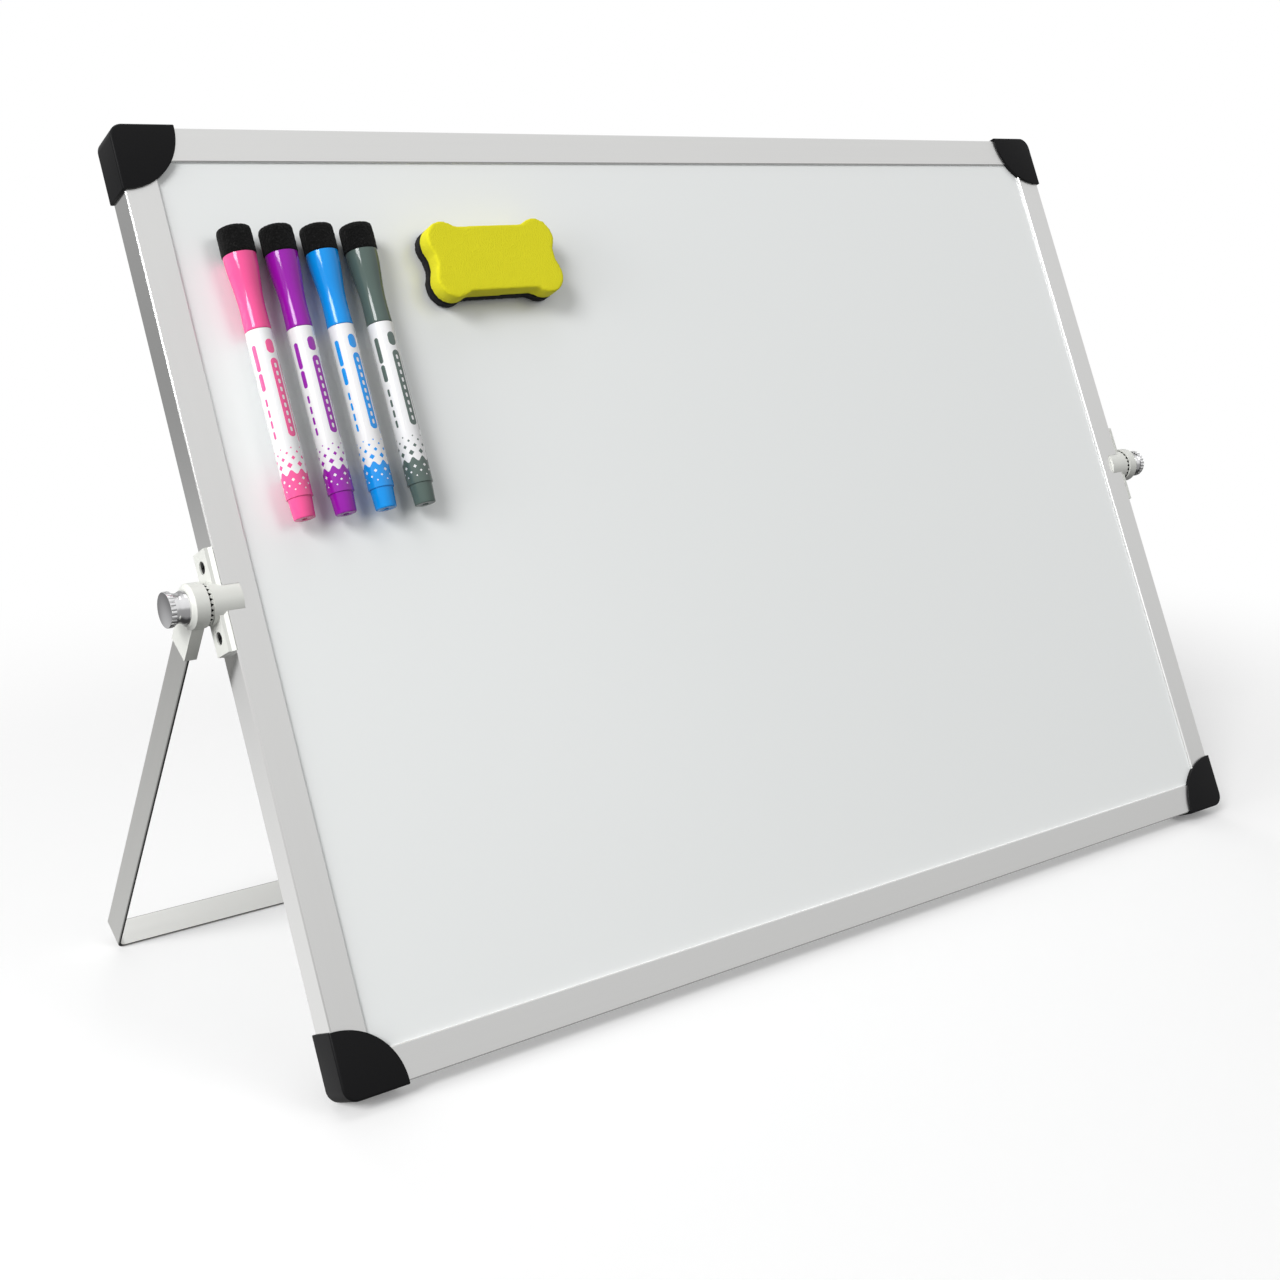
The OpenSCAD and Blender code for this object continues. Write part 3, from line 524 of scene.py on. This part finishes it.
# Printed bars, and gaps left white in the widest: place round and up the barrel, half length and radius
BARS = [(0.9, 30.5, 11.0, 1.35), (3.2, 29.0, 12.0, 0.22), (3.9, 26.0, 9.0, 0.14), (0.7, 46.6, 0.9, 1.35),
        (-4.6, 43.5, 3.4, 0.75), (-4.6, 36.0, 2.0, 0.75)] + [(-4.8, 19.5 + 3.4 * i, 0.8, 0.4) for i in range(4)]
GAPS = [(0.9, 20.5 + 2.5 * i, 0.35, 0.38) for i in range(9)]


def either(tree, a, b):
    """Where one mask or the other is 1."""
    return reckon(tree, "MAXIMUM", a, b)


def without(tree, a, b):
    """Where the first mask is 1 and the other is not."""
    return reckon(tree, "SUBTRACT", a, b, use_clamp=True)


def printed_barrel(name, ink, barrel_low, around):
    """White gloss plastic with a printed band, diamonds and bars in the ink's colour, on the barrel's own map.
    The map's first number runs round the barrel and its second up it, both in millimetres."""
    material, tree, shader = finish_of(name, WHITE, 0.17, Coat_Weight=0.4, Coat_Roughness=0.05)
    on_barrel = node(tree, "UVMap").outputs["UV"]
    parts = node(tree, "SeparateXYZ", {0: on_barrel})
    wave = reckon(tree, "MULTIPLY", parts.outputs["X"], math.tau * ROUND / around)
    edge = reckon(tree, "MULTIPLY_ADD", reckon(tree, "SINE", wave), BAND_WAVE, barrel_low + BAND_TOP)
    mask = reckon(tree, "LESS_THAN", parts.outputs["Y"], edge)
    for rows, join in ((ROWS_ABOVE, either), (ROWS_IN_BAND, without)):
        for height, shift, size in rows:
            row = use_group(tree, diamonds, {"Vector": on_barrel, "Pitch": around / ROUND,
                                             "Height": barrel_low + height, "Shift": shift, "Size": size})
            mask = join(tree, mask, row.outputs["Mask"])
    for marks, join in ((BARS, either), (GAPS, without)):
        for x, y, half, radius in marks:
            mark = use_group(tree, bar_mask, {"Vector": on_barrel, "Centre": (x, barrel_low + y, 0),
                                              "Half Length": half, "Radius": radius})
            mask = join(tree, mask, mark.outputs["Mask"])
    tree.links.new(blend(tree, mask, WHITE, ink), shader.inputs["Base Color"])
    relief(tree, shader, mask, 0.000015)
    return material


def map_round(bm, radius, start):
    """A map on a turned shape, in millimetres: round it, from its front, and up it."""
    uv = bm.loops.layers.uv.new("round_and_up")
    for face in bm.faces:
        middle = face.calc_center_median()
        about = math.atan2(middle.x, -middle.y)
        for loop in face.loops:
            p = loop.vert.co
            angle = math.atan2(p.x, -p.y) if math.hypot(p.x, p.y) > 1e-6 else about
            angle += math.tau * round((about - angle) / math.tau)
            loop[uv].uv = (angle * radius * 1000, (p.z + start) * 1000)


fuzzy, ends, out = effect(
    "felt_fibres", [("Vector", "Vector", None), ("Scale", "Float", 3000.0)],
    [("Height", "Float"), ("Fleck", "Float")])
fibres = node(fuzzy, "TexNoise", {"Vector": ends.outputs["Vector"], "Scale": ends.outputs["Scale"],
                                  "Detail": 5.0, "Roughness": 0.75, "Distortion": 1.5})
clumps = node(fuzzy, "TexVoronoi", {"Vector": ends.outputs["Vector"], "Scale": 1500.0})
mixed = node(fuzzy, "Mix", {0: 0.4, 2: fibres.outputs["Fac"], 3: clumps.outputs["Distance"]}).outputs[0]
fleck = node(fuzzy, "MapRange", {"Value": fibres.outputs["Fac"], "From Min": 0.55, "From Max": 0.8}).outputs[0]
fuzzy.links.new(mixed, out.inputs["Height"])
fuzzy.links.new(fleck, out.inputs["Fleck"])


def felt(name, colour, fleck_colour, depth):
    """Pressed felt with lighter fibre ends."""
    material, tree, shader = finish_of(name, colour, 0.95, Specular_IOR_Level=0.15, Sheen_Weight=0.06,
                                       Sheen_Roughness=0.5)
    fibres = use_group(tree, fuzzy, {"Vector": object_place(tree), "Scale": 1900.0})
    tint = blend(tree, fibres.outputs["Fleck"], colour, fleck_colour)
    tree.links.new(tint, shader.inputs["Base Color"])
    relief(tree, shader, fibres.outputs["Height"], depth)
    return material


def roughen(bm, size, height):
    """Vertices moved along their normals by noise of a given grain, for a fibrous surface."""
    bm.normal_update()
    moved = [(v, v.co + v.normal * height * noise.noise(v.co / size)) for v in bm.verts]
    for v, place in moved:
        v.co = place


# Markers: length of the spigot that the cap slides on, wall at its tip, depth of the nib's seat
SPIGOT_L, TIP_WALL, NIB_SEAT = 0.0035, 0.0008, 0.002
BARREL_EDGE, PLUG_EDGE, CAP_MOUTH_EDGE, FELT_EDGE = 0.00018, 0.00035, 0.00015, 0.0004
# End plug: radius, and the radius and depth of the small hole in its end
PLUG_R, HOLE_R, HOLE_L = 0.00365, 0.0008, 0.0032
# Cap: how far it narrows over the first share of its length, and its clearances on the spigot and the magnet
CAP_DIP, DIP_SHARE, SLIDE_GAP, MAGNET_GAP = 0.00015, 0.3, 0.00005, 0.00002
FELT_DOME = 0.0009
cap_felt = felt("black_felt", (0.0015, 0.0015, 0.0015), (0.07, 0.07, 0.07), 0.0005)
nib_fibre = felt("nib_fibre", (0.01, 0.01, 0.01), (0.03, 0.03, 0.03), 0.00005)
wadding = felt("ink_wadding", (0.7, 0.68, 0.6), (0.8, 0.8, 0.75), 0.0001)
magnet_metal = moulded("sintered_magnet", (0.12, 0.12, 0.125), 0.5, 0.00002, Metallic=0.8)
for colour, ink in INKS.items():
    gloss = glossy("gloss_" + colour, ink)
    names = {part: f"marker_{part}_{colour}" for part in
             ("barrel", "plug", "nib", "reservoir", "cap", "felt", "magnet")}
    boxes = {part: lying_box([name], -lean) for part, name in names.items()}
    low, high = boxes["barrel"]
    barrel_r = (high.x - low.x) / 2
    axis = Vector(((low.x + high.x) / 2, (low.y + high.y) / 2, 0))
    stand_up = Matrix.Rotation(-lean, 4, "X") @ Matrix.Translation(axis)
    nib_r = (boxes["nib"][1].x - boxes["nib"][0].x) / 2
    mouth = boxes["cap"][0].z
    bore_r = (boxes["reservoir"][1].x - boxes["reservoir"][0].x) / 2 + 0.0001
    spigot_r = bore_r + 0.0002
    spigot_top = high.z - SPIGOT_L

    bm = turned([(bore_r, low.z), (barrel_r, low.z), (barrel_r, mouth - 0.0001), (spigot_r, mouth - 0.0001),
                 (spigot_r, spigot_top), (nib_r + TIP_WALL, high.z), (nib_r, high.z),
                 (nib_r, spigot_top - NIB_SEAT), (bore_r, spigot_top - NIB_SEAT)],
                64, rounds=(1, 2, 4, 5), round_r=BARREL_EDGE)
    map_round(bm, barrel_r, 0)
    bm.transform(stand_up)
    link_piece(names["barrel"] + "_printed", shaded(bm, names["barrel"]), "marker_" + colour,
               printed_barrel("printed_" + colour, ink, low.z * 1000, math.tau * barrel_r * 1000),
               "marker_white", names["barrel"])

    low, high = boxes["plug"]
    push_r = bore_r - 0.00002
    shoulder = boxes["barrel"][0].z
    bm = turned([(0, low.z + HOLE_L), (HOLE_R, low.z + HOLE_L), (HOLE_R, low.z), (PLUG_R - PLUG_EDGE, low.z),
                 (PLUG_R, shoulder), (push_r, shoulder), (push_r, high.z), (0, high.z)],
                64, closed=False, rounds=(2, 3), round_r=PLUG_EDGE)
    bm.transform(stand_up)
    link_piece(names["plug"] + "_gloss", shaded(bm, names["plug"]), "marker_" + colour, gloss,
               "marker_" + colour, names["plug"])

    low, high = boxes["cap"]
    flare_r = (high.x - low.x) / 2
    magnet_r = (boxes["magnet"][1].x - boxes["magnet"][0].x) / 2 + MAGNET_GAP
    magnet_low = boxes["magnet"][0].z
    slide_r = spigot_r + SLIDE_GAP
    outer = []
    for step in range(25):
        t = step / 24
        if t < DIP_SHARE:
            r = barrel_r - CAP_DIP * math.sin(math.radians(300 * t))
        else:
            swing = (1 - math.cos(math.pi * (t - DIP_SHARE) / (1 - DIP_SHARE))) / 2
            r = barrel_r - CAP_DIP + (flare_r - barrel_r + CAP_DIP) * swing
        outer.append((r, low.z + (high.z - low.z) * t))
    bm = turned([(slide_r, low.z)] + outer
                + [(magnet_r, high.z), (magnet_r, magnet_low), (0, magnet_low)], 64, closed=False,
                rounds=(1,), round_r=CAP_MOUTH_EDGE)
    inner = turned([(0, magnet_low - 0.001), (slide_r, magnet_low - 0.001),
                    (slide_r, low.z)], 64, closed=False)
    for face in inner.faces:
        face.normal_flip()
    rest = bpy.data.meshes.new("bore")
    inner.to_mesh(rest)
    inner.free()
    bm.from_mesh(rest)
    bmesh.ops.remove_doubles(bm, verts=bm.verts, dist=0.000002)
    bmesh.ops.recalc_face_normals(bm, faces=bm.faces)
    bm.transform(stand_up)
    link_piece(names["cap"] + "_gloss", shaded(bm, names["cap"]), "marker_cap_" + colour, gloss,
               "marker_" + colour, names["cap"])

    low, high = boxes["felt"]
    felt_r = (high.x - low.x) / 2
    bm = turned([(0, low.z), (felt_r, low.z), (felt_r, high.z), (0, high.z)], 96, closed=False,
                rounds=(1,), round_r=FELT_EDGE)
    for _ in range(3):
        long_edges = [e for e in bm.edges if e.calc_length() > 0.0006]
        bmesh.ops.subdivide_edges(bm, edges=long_edges, cuts=1, use_grid_fill=True)
    top = high.z - FELT_DOME
    for v in bm.verts:
        r = math.hypot(v.co.x, v.co.y)
        if v.co.z > top and r > felt_r - FELT_DOME:
            corner = Vector((v.co.x, v.co.y, 0)).normalized() * (felt_r - FELT_DOME)
            corner.z = top
            v.co = corner + (v.co - corner).normalized() * FELT_DOME
    roughen(bm, 0.0004, 0.00016)
    bm.transform(stand_up)
    pad = link_piece(names["felt"] + "_fuzzy", shaded(bm, names["felt"], 60), "marker_cap_" + colour, cap_felt,
                     "cap_felt", names["felt"])
    dress(nib_fibre, names["nib"])
    dress(wadding, names["reservoir"])
    dress(magnet_metal, names["magnet"])


# The eraser is a block of yellow foam, glued to a charcoal felt pad of the same outline, with a flat magnet
# let into it. The foam was cut from a sheet, so its sides are straight and its edges only slightly rounded.
def soft_copy(source, voxel, turns):
    """A CAD solid remeshed finely and relaxed, so that its edges round off as foam's do."""
    bm = bmesh.new()
    bm.from_mesh(frame["nodes"][source].data)
    bmesh.ops.remove_doubles(bm, verts=bm.verts, dist=0.000002)
    mesh = bpy.data.meshes.new(source + "_soft")
    bm.to_mesh(mesh)
    bm.free()
    shape = bpy.data.objects.new("soft_shape", mesh)
    bpy.context.scene.collection.objects.link(shape)
    remesh = shape.modifiers.new("remesh", "REMESH")
    remesh.mode = "VOXEL"
    remesh.voxel_size = voxel
    remeshed = bpy.data.meshes.new_from_object(shape.evaluated_get(bpy.context.evaluated_depsgraph_get()))
    bpy.data.objects.remove(shape)
    bm = bmesh.new()
    bm.from_mesh(remeshed)
    for _ in range(turns):
        bmesh.ops.smooth_vert(bm, verts=bm.verts, factor=0.5, use_axis_x=True, use_axis_y=True, use_axis_z=True)
    return bm


foam, tree, shader = finish_of("yellow_foam", (0.75, 0.69, 0.02), 0.8, Specular_IOR_Level=0.15,
                               Sheen_Weight=0.04)
place = object_place(tree)
pores = node(tree, "TexVoronoi", {"Vector": place, "Scale": 2200.0, "Randomness": 1.0})
mottle = node(tree, "TexNoise", {"Vector": place, "Scale": 90.0, "Detail": 3.0})
tint = blend(tree, mottle.outputs["Fac"], (0.73, 0.68, 0.018), (0.78, 0.73, 0.022))
tree.links.new(tint, shader.inputs["Base Color"])
relief(tree, shader, pores.outputs["Distance"], 0.00012)
bm = soft_copy("eraser_foam", 0.0005, 3)
roughen(bm, 0.0012, 0.00003)
grip = link_piece("eraser_foam_grip", shaded(bm, "eraser_foam_grip", 70), "eraser", foam, "grip_foam",
                  "eraser_foam")

pad_felt = felt("charcoal_felt", (0.010, 0.010, 0.012), (0.05, 0.05, 0.06), 0.0003)
bm = soft_copy("eraser_felt", 0.00045, 2)
roughen(bm, 0.0005, 0.00012)
pad = link_piece("eraser_felt_pad", shaded(bm, "eraser_felt_pad", 70), "eraser", pad_felt, "pad_felt",
                 "eraser_felt")
dress(magnet_metal, "eraser_magnet")


# The object stands on a plain pale floor in a bright studio, lit softly from the upper left and the front.
# The floor only shows to the camera, so metal and gloss reflect the studio and not the floor.
FLOOR_HALF = 8
# Distances from the floor's middle, in metres, where its fade to white starts and ends
FADE_FROM, FADE_TO = 0.28, 0.6
floor_mesh = bpy.data.meshes.new("floor")
bm = bmesh.new()
bmesh.ops.create_grid(bm, x_segments=1, y_segments=1, size=FLOOR_HALF)
bm.to_mesh(floor_mesh)
bm.free()
floor = bpy.data.objects.new("floor", floor_mesh)
bpy.context.scene.collection.objects.link(floor)
pale, tree, shader = finish_of("pale_floor", (0.8, 0.8, 0.8), 0.9, Emission_Strength=0.16)
shader.inputs["Emission Color"].default_value = (1, 1, 1, 1)
distance = node(tree, "VectorMath", {0: node(tree, "TexCoord").outputs["Object"]}, operation="LENGTH")
far = node(tree, "MapRange", {"Value": distance.outputs["Value"], "From Min": FADE_FROM, "From Max": FADE_TO},
           interpolation_type="SMOOTHSTEP").outputs["Result"]
white = node(tree, "Emission", {"Color": (1, 1, 1, 1), "Strength": 1.0}).outputs[0]
faded = node(tree, "MixShader", {0: far, 1: shader.outputs[0], 2: white}).outputs[0]
tree.links.new(faded, tree.nodes["Material Output"].inputs["Surface"])
floor_mesh.materials.append(pale)
floor.visible_glossy = False
floor.visible_diffuse = False
floor.visible_shadow = False

# The studio is light above and dim below the horizon, as grey values from straight down to straight up, with a
# bright patch low at the back. It is weaker for diffuse rays than for mirrored ones, which keeps the shadows.
STUDIO = ((0.0, 0.36), (0.45, 0.36), (0.5, 0.42), (0.54, 0.58), (0.61, 0.80), (0.75, 0.88), (1.0, 1.0))
PATCH_WAY, PATCH_EDGE, PATCH_LIGHT = Vector((-0.355, 0.78, -0.535)).normalized(), 0.9, 0.62
MIRRORED_LIGHT, DIFFUSE_LIGHT = 0.92, 0.32
world = bpy.data.worlds.new("studio")
world.use_nodes = True
world.cycles.sampling_method = "NONE"
bpy.context.scene.world = world
tree = world.node_tree
tree.nodes.clear()
direction = node(tree, "TexCoord").outputs["Generated"]
parts = node(tree, "SeparateXYZ", {0: direction})
height = node(tree, "MapRange", {"Value": parts.outputs["Z"], "From Min": -1.0, "From Max": 1.0}).outputs[0]
towards = node(tree, "VectorMath", {0: direction, 1: PATCH_WAY}, operation="DOT_PRODUCT").outputs["Value"]
patch = node(tree, "MapRange", {"Value": towards, "From Min": PATCH_EDGE, "To Max": PATCH_LIGHT},
             interpolation_type="SMOOTHSTEP")
glow = node(tree, "Mix", {0: 1.0, 6: grey_ramp(tree, height, STUDIO), 7: patch.outputs["Result"]},
            data_type="RGBA", blend_type="ADD").outputs[2]
ray = node(tree, "LightPath")
strength = spread(tree, ray.outputs["Is Diffuse Ray"], MIRRORED_LIGHT, DIFFUSE_LIGHT)
light_sky = node(tree, "Background", {"Color": glow, "Strength": strength}).outputs[0]
white_sky = node(tree, "Background", {"Color": (1, 1, 1, 1), "Strength": 1.0}).outputs[0]
seen = ray.outputs["Is Camera Ray"]
sky = node(tree, "MixShader", {0: seen, 1: light_sky, 2: white_sky}).outputs[0]
tree.links.new(sky, node(tree, "OutputWorld").inputs["Surface"])

middle = (Vector(cad_box[0]) + Vector(cad_box[1])) / 2
# Lamps: name, place, size, watts, and whether gloss and metal mirror it
LAMPS = (("key", (-4.7, -2.3, 4.0), (2.3, 2.3), 262.0, True),
         ("front", (2.4, -4.6, 2.9), (2.4, 2.4), 60.0, False),
         ("low_side", (-1.4, -0.15, 0.40), (0.8, 0.7), 10.0, False),
         ("rear", (0.8, 3.2, 0.6), (1.6, 1.6), 46.0, False),
         ("top", (0.0, 0.1, 1.7), (0.8, 0.8), 2.5, True))
for name, place, size, watts, mirrored in LAMPS:
    lamp = bpy.data.lights.new(name, "AREA")
    lamp.shape = "RECTANGLE"
    lamp.size, lamp.size_y = size
    lamp.energy = watts
    light = bpy.data.objects.new(name, lamp)
    light.location = place
    light.visible_glossy = mirrored
    light.rotation_euler = (middle - Vector(place)).to_track_quat("-Z", "Y").to_euler()
    bpy.context.scene.collection.objects.link(light)
bpy.context.scene.view_settings.view_transform = "Standard"
